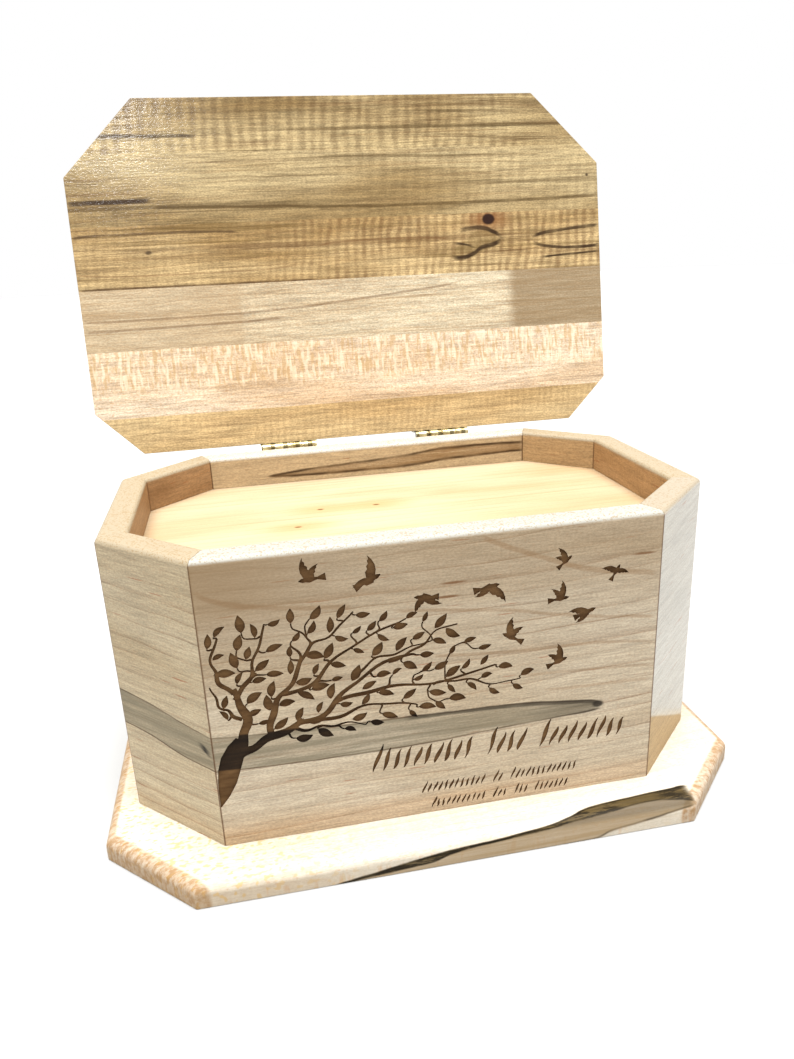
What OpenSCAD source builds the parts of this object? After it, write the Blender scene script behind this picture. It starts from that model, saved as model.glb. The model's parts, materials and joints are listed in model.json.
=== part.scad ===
// Eight-sided wooden cremation urn box with a hinged lid, drawn with the lid open.
// Millimetres. X runs along the width, the front faces -Y, and Z = 0 is the underside.
// The walls are mitred boards on a wider base plate. A thin inner panel, held in a groove
// all round, parts a shallow tray under the lid from the closed chamber below it.

/* [Body] */
// Overall width of the walls
body_w = 267; // [240:1:300]
// Overall depth of the walls
body_d = 170; // [150:1:200]
// Height of the walls
wall_h = 128; // [100:1:160]
// Thickness of the wall boards
wall_t = 13; // [11:0.5:16]
// Length that each corner takes off the sides beside it, on walls, base and lid
corner_cut = 38.5; // [34:0.5:44]
// Rounding of the rim's outer edge
rim_outer_r = 2.5; // [1:0.5:4]
// Rounding of the rim's inner edge
rim_inner_r = 2; // [1:0.5:4]

/* [Inner panel] */
// Depth of the tray, from the rim down to the panel
tray_depth = 17; // [12:1:40]
// Thickness of the panel
panel_t = 6; // [4:0.5:8]
// Depth of the groove that holds the panel
groove_depth = 5; // [3:0.5:6]
// Room left for the panel to swell in its groove
panel_gap = 0.5; // [0.2:0.1:1]

/* [Base] */
// Thickness of the base plate
base_t = 11; // [9:0.5:16]
// How far the base stands out at the left and right
base_out_side = 12.5; // [8:0.5:20]
// How far the base stands out at the front and back
base_out_front = 21; // [10:0.5:28]
// Rounding of the base plate's upper edge
base_r = 5; // [1:0.5:6]

/* [Lid] */
// Thickness of the lid board
lid_t = 13; // [12.5:0.5:18]
// How far the lid stands out at the front, left and right
lid_out = 15; // [8:0.5:20]
// Rounding of the lid's upper edge
lid_r = 2; // [1:0.5:2.5]
// Gap between the closed lid and the rim
lid_gap = 0.4; // [0.3:0.1:1]
// How far the lid is open
open_angle = 100; // [90:1:105]

/* [Hinges] */
// Distance of each hinge's middle from the middle of the back
hinge_x = 45; // [30:1:48]
// Length of a hinge
hinge_len = 32; // [26:1:34]
// Knuckles along a hinge, shared by its two leaves
knuckle_count = 4; // [2:2:6]
// Gap between neighbouring knuckles
knuckle_gap = 0.6; // [0.3:0.1:1]
// Diameter of the barrel
barrel_d = 4; // [3.6:0.1:4.2]
// Diameter of the pin
pin_d = 2; // [1.6:0.1:2.4]
// Radial play of the pin in the lid's knuckles
pin_play = 0.05; // [0.02:0.01:0.1]
// Play between the barrel and the wood
barrel_play = 0.4; // [0.3:0.1:0.6]
// Thickness of a leaf
leaf_t = 1; // [0.8:0.1:1.2]
// Height of a leaf, from the pin's axis to its far edge
leaf_h = 10; // [9.5:0.1:10.5]

/* [Hinge screws] */
// Distance of a screw from the hinge's middle
screw_x = 9; // [7:0.5:9]
// Distance of the screws from the pin's axis
screw_z = 6; // [5:0.5:6]
// Diameter of a screw's head
screw_head_d = 4.2; // [3.6:0.1:4.6]
// Diameter of a screw's shank
screw_d = 2.2; // [1.8:0.1:2.4]
// Length of shank in the wood
screw_len = 8; // [5:0.5:9]
// Width of the driver slot
slot_w = 0.7; // [0.5:0.1:0.9]

/* [Hidden] */
$fn = 64;

WALLS = ["front_panel", "front_right_corner_panel", "right_panel", "back_right_corner_panel",
    "back_panel", "back_left_corner_panel", "left_panel", "front_left_corner_panel"];
BACK = 4;
HINGES = [["left_hinge", -hinge_x], ["right_hinge", hinge_x]];

MAPLE = [0.87, 0.78, 0.63];
PALE_MAPLE = [0.93, 0.86, 0.72];
TAN_MAPLE = [0.79, 0.65, 0.46];
BRASS = [0.80, 0.68, 0.38];

rim_z = base_t + wall_h;
panel_top = rim_z - tray_depth;
body_back = body_d / 2;

// The pin stands off the back by the barrel's radius and its play
pin_out = barrel_d / 2 + barrel_play;
pin_y = body_back + pin_out;
pin_z = rim_z + lid_gap / 2;
knuckle_pitch = hinge_len / knuckle_count;
// Edge of a leaf's plate, clear of the other leaf's knuckles
plate_start = barrel_d / 2;
// Edge of the tab that joins a plate to its own knuckle, clear of the other board
tab_start = 0.4;
slot_depth = 0.4;
past = 1;
// Turn of each flat in a rounded board edge
arc_step = 15;

// Corners of the walls' outline, moved in by inset, from the front left corner round
function octagon(inset) =
    let (w = body_w / 2 - inset, d = body_d / 2 - inset, c = corner_cut - inset * (2 - sqrt(2)))
    [[c - w, -d], [w - c, -d], [w, c - d], [w, d - c], [w - c, d], [c - w, d], [-w, d - c], [-w, c - d]];

// Profile of a wall board: X goes in from the outer face, Y goes up
module wall_profile() {
    difference() {
        union() {
            square([rim_outer_r, wall_h - rim_outer_r]);
            translate([rim_outer_r, wall_h - rim_outer_r]) circle(rim_outer_r);
            translate([rim_outer_r, 0]) square([wall_t - rim_outer_r - rim_inner_r, wall_h]);
            translate([wall_t - rim_inner_r, 0]) square([rim_inner_r, wall_h - rim_inner_r]);
            translate([wall_t - rim_inner_r, wall_h - rim_inner_r]) circle(rim_inner_r);
        }
        translate([wall_t - groove_depth, wall_h - tray_depth - panel_t])
            square([groove_depth + past, panel_t]);
    }
}

// The wedge between the two mitres of a wall, reaching a little past both faces
module mitre_wedge(side) {
    next = (side + 1) % 8;
    outside = octagon(-past);
    inside = octagon(wall_t + past);
    linear_extrude(wall_h) polygon([outside[side], outside[next], inside[next], inside[side]]);
}

module wall_board(side) {
    start = octagon(0)[side];
    end = octagon(0)[(side + 1) % 8];
    run = end - start;
    translate([0, 0, base_t]) intersection() {
        mitre_wedge(side);
        translate((start + end) / 2) rotate(atan2(run.y, run.x)) rotate([90, 0, 90])
            linear_extrude(norm(run) + 2 * past, center = true) wall_profile();
    }
}

module wall_panel(side) {
    color(MAPLE) difference() {
        wall_board(side);
        if (side == BACK) at_hinges() screw_places() screw_shank();
    }
}

module inner_panel() {
    color(PALE_MAPLE) translate([0, 0, panel_top - panel_t])
        linear_extrude(panel_t) polygon(octagon(wall_t - groove_depth + panel_gap));
}

// Profile of a board with its two upper edges rounded in short flats, from X = low to X = high
module rounded_profile(low, high, thick, r) {
    arc = [for (turn = [0 : arc_step : 90]) r * [cos(turn), sin(turn)]];
    polygon(concat([[low, 0], [high, 0]],
        [for (p = arc) [high - r + p.x, thick - r + p.y]],
        [for (p = arc) [low + r - p.y, thick - r + p.x]]));
}

// A long bar of that profile, turned by angle: at 0 the profile runs along Y
module rounded_bar(angle, low, high, thick, r) {
    length = 2 * (body_w + body_d);
    rotate(angle) rotate([90, 0, 90]) linear_extrude(length, center = true)
        rounded_profile(low, high, thick, r);
}

// An eight-sided board with a rounded upper edge: four bars that cross, front and back
// being the distances of those two edges. The back may be trimmed closer than the front.
module octagon_board(half_w, front, back, thick, r) {
    corner = (half_w + front - corner_cut) / sqrt(2);
    intersection() {
        intersection() {
            rounded_bar(0, -front, back, thick, r);
            rounded_bar(90, -half_w, half_w, thick, r);
        }
        intersection() {
            rounded_bar(45, -corner, corner, thick, r);
            rounded_bar(135, -corner, corner, thick, r);
        }
    }
}

module base_plate() {
    reach = body_back + base_out_front;
    color(PALE_MAPLE) octagon_board(body_w / 2 + base_out_side, reach, reach, base_t, base_r);
}

// Swings what is drawn in the closed place back to the open place
module open_lid() {
    translate([0, pin_y, pin_z]) rotate([-open_angle, 0, 0]) translate([0, -pin_y, -pin_z]) children();
}

// The lid is trimmed at the back, flush with the walls
module lid_board() {
    color(TAN_MAPLE) open_lid() difference() {
        translate([0, 0, rim_z + lid_gap])
            octagon_board(body_w / 2 + lid_out, body_back + lid_out, body_back, lid_t, lid_r);
        at_hinges() mirror([0, 0, 1]) screw_places() screw_shank();
    }
}

// Places what is drawn about a hinge's pin at one hinge, or at both
module at_hinge(x) { translate([x, pin_y, pin_z]) children(); }
module at_hinges() { for (hinge = HINGES) at_hinge(hinge[1]) children(); }

// Places what is drawn about a screw's axis, on the leaf that hangs below the pin
module screw_places(which = [-1, 1]) {
    for (s = which) translate([s * screw_x, -pin_out, -screw_z]) children();
}

module screw_shank() { rotate([90, 0, 0]) cylinder(d = screw_d, h = screw_len); }
module screw_head() {
    translate([0, leaf_t, 0]) rotate([90, 0, 0]) cylinder(d1 = screw_head_d, d2 = screw_d, h = leaf_t);
}

// The knuckle in place number k, with the tab that joins it to the plate
module knuckle(k) {
    length = knuckle_pitch - knuckle_gap;
    start = -hinge_len / 2 + k * knuckle_pitch + knuckle_gap / 2;
    translate([start, 0, 0]) rotate([0, 90, 0]) cylinder(d = barrel_d, h = length);
    translate([start, -pin_out, -plate_start - past]) cube([length, leaf_t, plate_start + past - tab_start]);
}

// A leaf that hangs below the pin. It carries every second knuckle, from number first on
module hinge_leaf(first, bore_d) {
    difference() {
        union() {
            translate([-hinge_len / 2, -pin_out, -leaf_h]) cube([hinge_len, leaf_t, leaf_h - plate_start]);
            for (k = [first : 2 : knuckle_count - 1]) knuckle(k);
        }
        rotate([0, 90, 0]) cylinder(d = bore_d, h = hinge_len + 2 * past, center = true);
        screw_places() screw_head();
    }
}

module body_leaf(x) { color(BRASS) at_hinge(x) hinge_leaf(0, pin_d); }
module lid_leaf(x) {
    color(BRASS) open_lid() at_hinge(x) mirror([0, 0, 1]) hinge_leaf(1, pin_d + 2 * pin_play);
}

module hinge_pin(x) {
    color(BRASS) at_hinge(x) rotate([0, 90, 0])
        cylinder(d = pin_d, h = hinge_len - knuckle_gap, center = true);
}

// A slotted countersunk screw
module screw() {
    difference() {
        union() { screw_head(); screw_shank(); }
        translate([-screw_head_d / 2, leaf_t - slot_depth, -slot_w / 2]) cube([screw_head_d, past, slot_w]);
    }
}

module body_screw(x, s) { color(BRASS) at_hinge(x) screw_places([s]) screw(); }
module lid_screw(x, s) { color(BRASS) open_lid() at_hinge(x) mirror([0, 0, 1]) screw_places([s]) screw(); }

base_plate();
for (side = [0 : 7]) {
    wall_panel(side);
}
inner_panel();
lid_board();
for (hinge = HINGES) {
    body_leaf(hinge[1]);
    lid_leaf(hinge[1]);
    hinge_pin(hinge[1]);
    for (i = [1, 2]) {
        body_screw(hinge[1], 2 * i - 3);
        lid_screw(hinge[1], 2 * i - 3);
    }
}
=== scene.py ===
"""Looks of a hinged eight-sided maple urn box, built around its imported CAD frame. Metres, +Z up."""

import json
import math
import random

import bmesh
import bpy
import numpy as np
from mathutils import Euler, Matrix, Vector
from mathutils.geometry import delaunay_2d_cdt


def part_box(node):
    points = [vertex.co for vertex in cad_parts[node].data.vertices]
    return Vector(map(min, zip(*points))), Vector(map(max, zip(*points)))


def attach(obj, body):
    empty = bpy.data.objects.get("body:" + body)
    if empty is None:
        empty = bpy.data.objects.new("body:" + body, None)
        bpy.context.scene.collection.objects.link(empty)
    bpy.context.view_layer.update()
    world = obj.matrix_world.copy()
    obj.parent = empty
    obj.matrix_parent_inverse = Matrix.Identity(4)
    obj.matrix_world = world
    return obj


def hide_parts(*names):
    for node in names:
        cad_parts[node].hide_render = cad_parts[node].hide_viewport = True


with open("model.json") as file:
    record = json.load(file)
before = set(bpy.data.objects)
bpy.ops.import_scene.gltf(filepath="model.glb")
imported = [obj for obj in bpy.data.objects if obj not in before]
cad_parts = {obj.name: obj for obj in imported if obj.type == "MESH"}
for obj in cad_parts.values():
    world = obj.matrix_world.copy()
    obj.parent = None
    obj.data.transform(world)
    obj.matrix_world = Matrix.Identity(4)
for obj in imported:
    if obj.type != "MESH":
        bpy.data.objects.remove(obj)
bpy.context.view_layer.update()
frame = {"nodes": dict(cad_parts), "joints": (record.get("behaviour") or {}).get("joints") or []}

MM = 0.001

# ---- sizes, all taken from the frame

FRONT_LOW, FRONT_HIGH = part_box("front_panel")
PANEL_LOW, PANEL_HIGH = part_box("inner_panel")
BODY_HALF = Vector((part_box("right_panel")[1].x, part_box("back_panel")[1].y))
BASE_TOP = FRONT_LOW.z
RIM_Z = FRONT_HIGH.z
WALL = FRONT_HIGH.y - FRONT_LOW.y
CUT = BODY_HALF.x - FRONT_HIGH.x
PANEL_GAP = 0.5 * MM
GROOVE = PANEL_HIGH.y - (BODY_HALF.y - WALL) + PANEL_GAP
MITRE_SLOPE = math.tan(math.radians(22.5))

JOINT = frame["joints"][0]
PIN = Vector(JOINT["pos_m"])
OPEN_ANGLE = math.radians(JOINT["range_deg"][1])
CLOSING = Matrix.Translation(PIN) @ Matrix.Rotation(OPEN_ANGLE, 4, "X") @ Matrix.Translation(-PIN)

RIM_OUTER_R = 2.5 * MM
RIM_INNER_R = 2 * MM
BASE_R = 5 * MM
LID_R = 2 * MM
CORNER_R = 1.2 * MM
EASE = 0.3 * MM
ARC_STEPS = 6
SHARP_ANGLE = math.radians(28)

# anticlockwise from the front
WALL_NODES = [
    "front_panel", "front_right_corner_panel", "right_panel", "back_right_corner_panel",
    "back_panel", "back_left_corner_panel", "left_panel", "front_left_corner_panel",
]


# ---- outlines

def outline(low, high, front_cut, rear_cut):
    """Corners of a rectangle with 45-degree corners, anticlockwise from the front left."""
    return [
        Vector((low.x + front_cut, low.y)),
        Vector((high.x - front_cut, low.y)),
        Vector((high.x, low.y + front_cut)),
        Vector((high.x, high.y - rear_cut)),
        Vector((high.x - rear_cut, high.y)),
        Vector((low.x + rear_cut, high.y)),
        Vector((low.x, high.y - rear_cut)),
        Vector((low.x, low.y + front_cut)),
    ]


def left_of(way):
    """The direction that lies to the left of another."""
    return Vector((-way.y, way.x))


def turns(points):
    """Each point of a closed outline, with the directions into it and out of it."""
    for i, here in enumerate(points):
        after = points[(i + 1) % len(points)]
        yield here, (here - points[i - 1]).normalized(), (after - here).normalized()


def inset(points, distance):
    """The same convex outline with every side moved inwards by the distance."""
    moved = []
    for here, along_in, along_out in turns(points):
        normal_in = left_of(along_in)
        normal_out = left_of(along_out)
        shift = (normal_in + normal_out) / (1 + normal_in.dot(normal_out))
        moved.append(here + shift * distance)
    return moved


def rounded(points, radius, steps=3):
    """The outline with each corner turned by an arc of the radius."""
    arcs = []
    for here, along_in, along_out in turns(points):
        turn = along_in.angle(along_out)
        start = here - along_in * radius * math.tan(turn / 2)
        inward = left_of(along_in)
        for step in range(steps + 1):
            angle = turn * step / steps
            ahead = along_in * radius * math.sin(angle)
            arcs.append(start + ahead + inward * radius * (1 - math.cos(angle)))
    return arcs


def quarter(radius, steps=ARC_STEPS):
    """Pairs (in from the side, down from the top) round a quarter circle, from side to top."""
    angles = [math.pi / 2 * step / steps for step in range(steps + 1)]
    return [(radius * (1 - math.cos(a)), radius * (1 - math.sin(a))) for a in angles]


BODY_OUTLINE = outline(-BODY_HALF, BODY_HALF, CUT, CUT)


# ---- board meshes

def plate_mesh(points, bottom, top, top_radius):
    """An eight-sided board, its upper edge rounded and its lower edge just eased."""
    rings = [(EASE, bottom), (EASE * 0.3, bottom + EASE * 0.3), (0.0, bottom + EASE)]
    rings += [(depth, top - down) for depth, down in quarter(top_radius)]
    bm = bmesh.new()
    loops = []
    for depth, z in rings:
        ring = rounded(inset(points, depth), CORNER_R)
        loops.append([bm.verts.new((p.x, p.y, z)) for p in ring])
    for lower, upper in zip(loops, loops[1:]):
        for i in range(len(lower)):
            j = (i + 1) % len(lower)
            bm.faces.new((lower[i], lower[j], upper[j], upper[i]))
    bm.faces.new(list(reversed(loops[0])))
    bm.faces.new(loops[-1])
    return bm


def wall_profile():
    """The wall board's section as (depth from the outer face, height), with its panel groove."""
    rise = [(depth, RIM_Z - down) for depth, down in quarter(RIM_OUTER_R)]
    fall = [(WALL - depth, RIM_Z - down) for depth, down in reversed(quarter(RIM_INNER_R))]
    floor = WALL - GROOVE
    groove = [(WALL, PANEL_HIGH.z), (floor, PANEL_HIGH.z), (floor, PANEL_LOW.z), (WALL, PANEL_LOW.z)]
    return [(0.0, BASE_TOP)] + rise + fall + groove + [(WALL, BASE_TOP)]


def ease_sharp_edges(bm, width):
    """Takes the sharpness off every edge that turns more than the arcs do."""
    bm.normal_update()
    sharp = [e for e in bm.edges if len(e.link_faces) == 2 and e.calc_face_angle() > SHARP_ANGLE]
    bmesh.ops.bevel(
        bm, geom=sharp, offset=width, offset_type="OFFSET", segments=2, profile=0.5, affect="EDGES"
    )


def wall_mesh(index):
    """One wall board, its section swept between the two mitre planes."""
    bm = bmesh.new()
    starts = []
    ends = []
    for depth, z in wall_profile():
        ring = inset(BODY_OUTLINE, depth)
        start = ring[index]
        end = ring[(index + 1) % len(ring)]
        starts.append(bm.verts.new((start.x, start.y, z)))
        ends.append(bm.verts.new((end.x, end.y, z)))
    for i in range(len(starts)):
        j = (i + 1) % len(starts)
        bm.faces.new((starts[i], ends[i], ends[j], starts[j]))
    bm.faces.new(list(reversed(starts)))
    bm.faces.new(ends)
    bmesh.ops.recalc_face_normals(bm, faces=bm.faces)
    ease_sharp_edges(bm, EASE)
    return bm


def wall_grain(index):
    """Grain place of a point in a wall: along the perimeter from the front's middle, up, inwards.
    The second value is (place from the board's middle, its half length at that depth, seed)."""
    corner = BODY_OUTLINE[index]
    after = BODY_OUTLINE[(index + 1) % len(BODY_OUTLINE)]
    length = (after - corner).length
    along = (after - corner).normalized()
    inward = left_of(along)
    sides = [(BODY_OUTLINE[(i + 1) % 8] - BODY_OUTLINE[i]).length for i in range(8)]
    start = sum(sides[:index]) - sides[0] / 2
    if index > WALL_NODES.index("back_panel"):
        start -= sum(sides)

    def grain(co):
        offset = Vector((co.x, co.y)) - corner
        place = offset.dot(along)
        depth = offset.dot(inward)
        half = length / 2 - depth * MITRE_SLOPE
        return (start + place, co.z, depth), (place - length / 2, half, index)

    return grain


def plate_grain(seed):
    """Grain place of a point in a flat board: simply where it is, with the grain along X."""

    def grain(co):
        return (co.x, co.y, co.z), (0.0, 1.0, seed)

    return grain


def make_piece(name, bm, grain, body, materials, nodes, placing=None):
    """Makes a piece from the mesh, with its grain coordinates, that stands for its CAD nodes."""
    mesh = bpy.data.meshes.new(name)
    bm.to_mesh(mesh)
    bm.free()
    for material in materials:
        mesh.materials.append(material)
    mesh.shade_smooth()
    mesh.set_sharp_from_angle(angle=SHARP_ANGLE)
    places = [grain(vertex.co) for vertex in mesh.vertices]
    for label, which in (("grain", 0), ("board", 1)):
        attribute = mesh.attributes.new(label, "FLOAT_VECTOR", "POINT")
        flat = np.array([place[which] for place in places], np.float32)
        attribute.data.foreach_set("vector", flat.ravel())
    if placing is not None:
        mesh.transform(placing)
    piece = bpy.data.objects.new(name, mesh)
    bpy.context.scene.collection.objects.link(piece)
    even = piece.modifiers.new("Even normals", "WEIGHTED_NORMAL")
    even.keep_sharp = True
    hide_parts(*nodes)
    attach(piece, body)


# ---- the engraved picture

def bezier(a, b, c, d, steps):
    """Points along a cubic curve."""
    points = []
    for i in range(steps + 1):
        t = i / steps
        s = 1 - t
        points.append(a * s**3 + b * 3 * s * s * t + c * 3 * s * t * t + d * t**3)
    return points


def directions(spine):
    """Unit direction of the line at each of its points."""
    last = len(spine) - 1
    return [(spine[min(i + 1, last)] - spine[max(i - 1, 0)]).normalized() for i in range(last + 1)]


def ribbon(spine, widths):
    """Closed outline, anticlockwise, of a line with a width at each point."""
    left = []
    right = []
    for point, way, width in zip(spine, directions(spine), widths):
        side = left_of(way) * width / 2
        left.append(point + side)
        right.append(point - side)
    return right + list(reversed(left))


def leaf_outline(stalk, way, length, width, bend):
    """A pointed leaf that starts at its stalk and curves a little to one side."""
    steps = 9
    side = left_of(way)
    spine = [
        stalk + way * length * i / steps + side * bend * math.sin(math.pi * i / steps)
        for i in range(steps + 1)
    ]
    swell = [math.sin(math.pi * (i / steps) ** 0.85) ** 0.9 for i in range(steps + 1)]
    return ribbon(spine, [max(width * share, 0.12 * MM) for share in swell])


def canopy_top(x):
    """Upper edge of the windswept crown."""
    return np.interp(x / MM, [-94, -64, -22, -4, 12, 26, 40], [111, 115, 112, 106, 96, 82, 73]) * MM


def canopy_bottom(x):
    """Lower edge of the windswept crown."""
    return np.interp(x / MM, [-94, -84, -76, -60, -30, -4, 12, 40], [70, 70, 66, 56, 57, 60, 64, 67]) * MM


LIMBS = [
    # four points of each limb's curve, then its width at the start and at the end, in millimetres
    ((-87, 53), (-78, 64), (-80, 72), (-84, 84), 5.4, 2.6),
    ((-84, 82), (-90, 88), (-94, 94), (-88, 106), 2.4, 0.8),
    ((-84, 79), (-76, 88), (-76, 92), (-70, 109), 2.4, 0.8),
    ((-82, 70), (-88, 74), (-90, 76), (-93, 86), 1.8, 0.7),
    ((-88, 50), (-82, 59), (-72, 57), (-58, 66), 4.8, 2.8),
    ((-71, 61), (-74, 74), (-60, 80), (-57, 93), 3.4, 1.5),
    ((-58, 90), (-54, 102), (-46, 98), (-35, 111), 1.7, 0.7),
    ((-66, 79), (-50, 76), (-48, 96), (-20, 103), 2.3, 0.8),
    ((-59, 65), (-42, 64), (-42, 86), (-14, 89), 2.8, 1.2),
    ((-22, 87), (-8, 88), (-6, 100), (7, 100), 1.4, 0.6),
    ((-46, 71), (-30, 80), (-12, 70), (22, 79), 2.2, 0.8),
    ((-59, 65), (-44, 62), (-32, 73), (-12, 66), 2.2, 0.7),
    ((-62, 63), (-54, 58), (-46, 65), (-34, 60), 1.6, 0.6),
    ((-4, 74), (8, 78), (18, 68), (33, 71), 1.3, 0.5),
    ((-36, 82), (-28, 92), (-18, 90), (-4, 94), 1.4, 0.6),
]
TRUNK = [(-94.6, 30.5), (-92.6, 36), (-90.8, 42), (-89.6, 47), (-88, 52), (-85.6, 57), (-83.4, 61)]
TRUNK_WIDTHS = [0.5, 4.6, 7.6, 8.8, 9.0, 7.6, 4.6]


CROWN_MARGIN = 1.5 * MM
LIMB_GAP = 2.7 * MM
LEAF_GAP = 5.6 * MM
TWIG_GAP = 2.6 * MM
SHORTEST_TWIG = 2.5 * MM
LONGEST_TWIG = 26 * MM
TWIG_WIDTH = 1.3 * MM
STALK_WIDTH = 0.6 * MM


def grow_limbs():
    """Outlines of the trunk and limbs, and the (place, direction, width) nodes of the limbs."""
    shapes = [ribbon([Vector(p) * MM for p in TRUNK], [w * MM for w in TRUNK_WIDTHS])]
    nodes = []
    steps = 22
    for a, b, c, d, first, last in LIMBS:
        line = bezier(*[Vector(p) * MM for p in (a, b, c, d)], steps)
        widths = []
        bent = []
        for i, (point, way) in enumerate(zip(line, directions(line))):
            share = i / steps
            ripple = 1 + 0.13 * math.sin(11 * share + a[0])
            widths.append((first + (last - first) * share**0.8) * ripple * MM)
            bow = math.sin(13 * i / steps + b[0]) * 0.9 * MM * math.sin(math.pi * i / steps)
            bent.append(point + left_of(way) * bow)
        shapes.append(ribbon(bent, widths))
        nodes += list(zip(bent, directions(bent), widths))[4:]
    return shapes, nodes


def nearest(point, others):
    """Distance from a point to the nearest of the others."""
    return min((point - other).length for other in others)


def leaf_places(draw, limbs):
    """Places for leaves all over the crown, from the root outwards."""
    places = []
    for attempt in range(6000):
        x = draw.uniform(-92, 39) * MM
        z = draw.uniform(canopy_bottom(x) + CROWN_MARGIN, canopy_top(x) - CROWN_MARGIN)
        point = Vector((x, z))
        if nearest(point, limbs) < LIMB_GAP:
            continue
        if places and nearest(point, places) < LEAF_GAP:
            continue
        places.append(point)
    root = Vector((-84, 56)) * MM
    return sorted(places, key=lambda point: (point - root).length)


def twig_start(target, nodes, taken):
    """The node that a twig to the target leaves best: near, pointing there, clear of leaves."""
    best = None
    cheapest = math.inf
    for point, way, width in nodes:
        reach = target - point
        span = reach.length
        if span < SHORTEST_TWIG:
            continue
        turn = way.dot(reach.normalized())
        if turn < 0.1:
            continue
        price = span * (1 + 1.6 * (1 - turn))
        middle = point + reach * 0.5
        price += sum(2 * MM for other in taken if (other - middle).length < TWIG_GAP)
        if price < cheapest:
            cheapest = price
            best = (point, way, span, width)
    return best


def grow_tree(draw):
    """Outlines of an invented windswept tree: trunk, limbs, then a twig to each leaf."""
    shapes, nodes = grow_limbs()
    taken = []
    steps = 10
    for target in leaf_places(draw, [node[0] for node in nodes]):
        best = twig_start(target, nodes, taken)
        if best is None or best[2] > LONGEST_TWIG:
            continue
        point, way, span, width = best
        length = draw.uniform(4.6, 7.8) * MM
        wind = Vector((1.0, draw.uniform(-0.9, 0.9)))
        aim = ((target - point).normalized() + wind * 0.55).normalized()
        stalk = target - aim * length * 0.45
        line = bezier(point, point + way * span * 0.5, stalk - aim * span * 0.4, stalk, steps)
        first = min(width, TWIG_WIDTH)
        widths = [first + (STALK_WIDTH - first) * i / steps for i in range(steps + 1)]
        shapes.append(ribbon(line, widths))
        nodes += list(zip(line, directions(line), widths))[3:-2]
        bend = draw.uniform(-0.9, 0.9) * MM
        shapes.append(leaf_outline(stalk, aim, length, length * draw.uniform(0.4, 0.52), bend))
        taken.append(stalk + aim * length / 2)
    return shapes


WING = [
    # places along the wing and back from its leading edge, as shares of its length
    (-0.06, -0.06), (0.18, -0.13), (0.4, -0.15), (0.62, -0.1), (0.82, 0.02), (1.0, 0.2), (0.85, 0.15),
    (0.76, 0.2), (0.64, 0.16), (0.54, 0.23), (0.42, 0.19), (0.3, 0.27), (0.12, 0.24), (-0.06, 0.2),
]


def wing_outline(shoulder, angle, length, turn):
    """A broad wing with a notched trailing edge, which lies to one side of its direction."""
    out = Vector((math.cos(angle), math.sin(angle)))
    back = left_of(out) * turn
    points = [shoulder + out * u * length + back * v * length for u, v in WING]
    return points if turn > 0 else list(reversed(points))


def bird_outlines(place, size, heading, near_wing, far_wing):
    """A plain flying bird: a plump body with a beak, a fanned tail and two notched wings."""
    ahead = Vector((math.cos(heading), math.sin(heading)))
    body = [place + ahead * size * (0.36 - 0.72 * i / 14) for i in range(15)]
    shares = [0.03, 0.08, 0.14, 0.16, 0.15, 0.17, 0.2, 0.22, 0.21, 0.18, 0.15, 0.12, 0.1, 0.09, 0.08]
    tail_root = place - ahead * size * 0.26
    tail = [tail_root - ahead * size * 0.3 * i / 4 for i in range(5)]
    tail_widths = [size * (0.08 + 0.05 * i) for i in range(5)]
    shoulder = place + ahead * size * 0.06
    shapes = [ribbon(body, [size * share for share in shares]), ribbon(tail, tail_widths)]
    for bend, reach in ((near_wing, 0.8), (far_wing, 0.66)):
        turn = 1 if math.sin(bend) > 0 else -1
        shapes.append(wing_outline(shoulder, heading + bend, size * reach, turn))
    return shapes


BIRDS = [
    # place, size, heading, near wing and far wing angles from the heading, in millimetres and degrees
    ((-51, 126.5), 11.5, 185, -75, -120),
    ((-27.5, 123.5), 12.5, 25, 62, 165),
    ((-6.5, 113.5), 11.0, 175, 150, 60),
    ((20.5, 114.5), 12.0, 10, -50, -150),
    ((53, 122), 8.5, 40, 75, 115),
    ((75, 115), 8.5, 60, 100, -70),
    ((51, 105.5), 10.0, 5, 75, 120),
    ((62.8, 98), 11.0, 20, 145, -150),
    ((29.5, 91), 11.0, 150, -60, -110),
    ((51, 76.7), 10.5, 20, 70, 120),
]


def flock():
    """Outlines of the ten birds."""
    shapes = []
    for place, size, heading, near_wing, far_wing in BIRDS:
        angles = [math.radians(a) for a in (heading, near_wing, far_wing)]
        shapes += bird_outlines(Vector(place) * MM, size * MM, *angles)
    return shapes


GROUP_GAP = 1.3  # in strokes
STROKE_ROWS = [
    # left end, right end, foot and height in millimetres, then the strokes in each group
    (-31, 83, 36, 13, [10, 4, 9]),
    (-10, 61, 21.5, 6, [12, 2, 13]),
    (-6, 57, 13.4, 5.4, [11, 3, 3, 7]),
]


def stroke_row(draw, left, right, foot, height, groups):
    """A row of curved tapered strokes in groups, which stand where an inscription would."""
    shapes = []
    steps = 12
    total = sum(groups) + (len(groups) - 1) * GROUP_GAP
    pitch = (right - left) / total
    x = left
    for count in groups:
        for i in range(count):
            tall = 1.0 if i == 0 else draw.uniform(0.66, 0.84)
            slant = math.tan(math.radians(draw.uniform(19, 25)))
            bulge = draw.choice((-1, 1)) * draw.uniform(0.15, 0.34) * pitch
            start = Vector((x, foot))
            end = Vector((x + height * tall * slant, foot + height * tall))
            third = (end - start) / 3
            aside = Vector((bulge, 0))
            line = bezier(start, start + third + aside, end - third - aside, end, steps)
            thick = pitch * draw.uniform(0.38, 0.46)
            power = math.log(0.5) / math.log(draw.uniform(0.35, 0.6))
            swell = [math.sin(math.pi * (k / steps) ** power) for k in range(steps + 1)]
            widths = [thick * (0.16 + 0.84 * max(share, 0.0)) for share in swell]
            shapes.append(ribbon(line, widths))
            x += pitch
        x += pitch * GROUP_GAP
    return shapes


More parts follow.
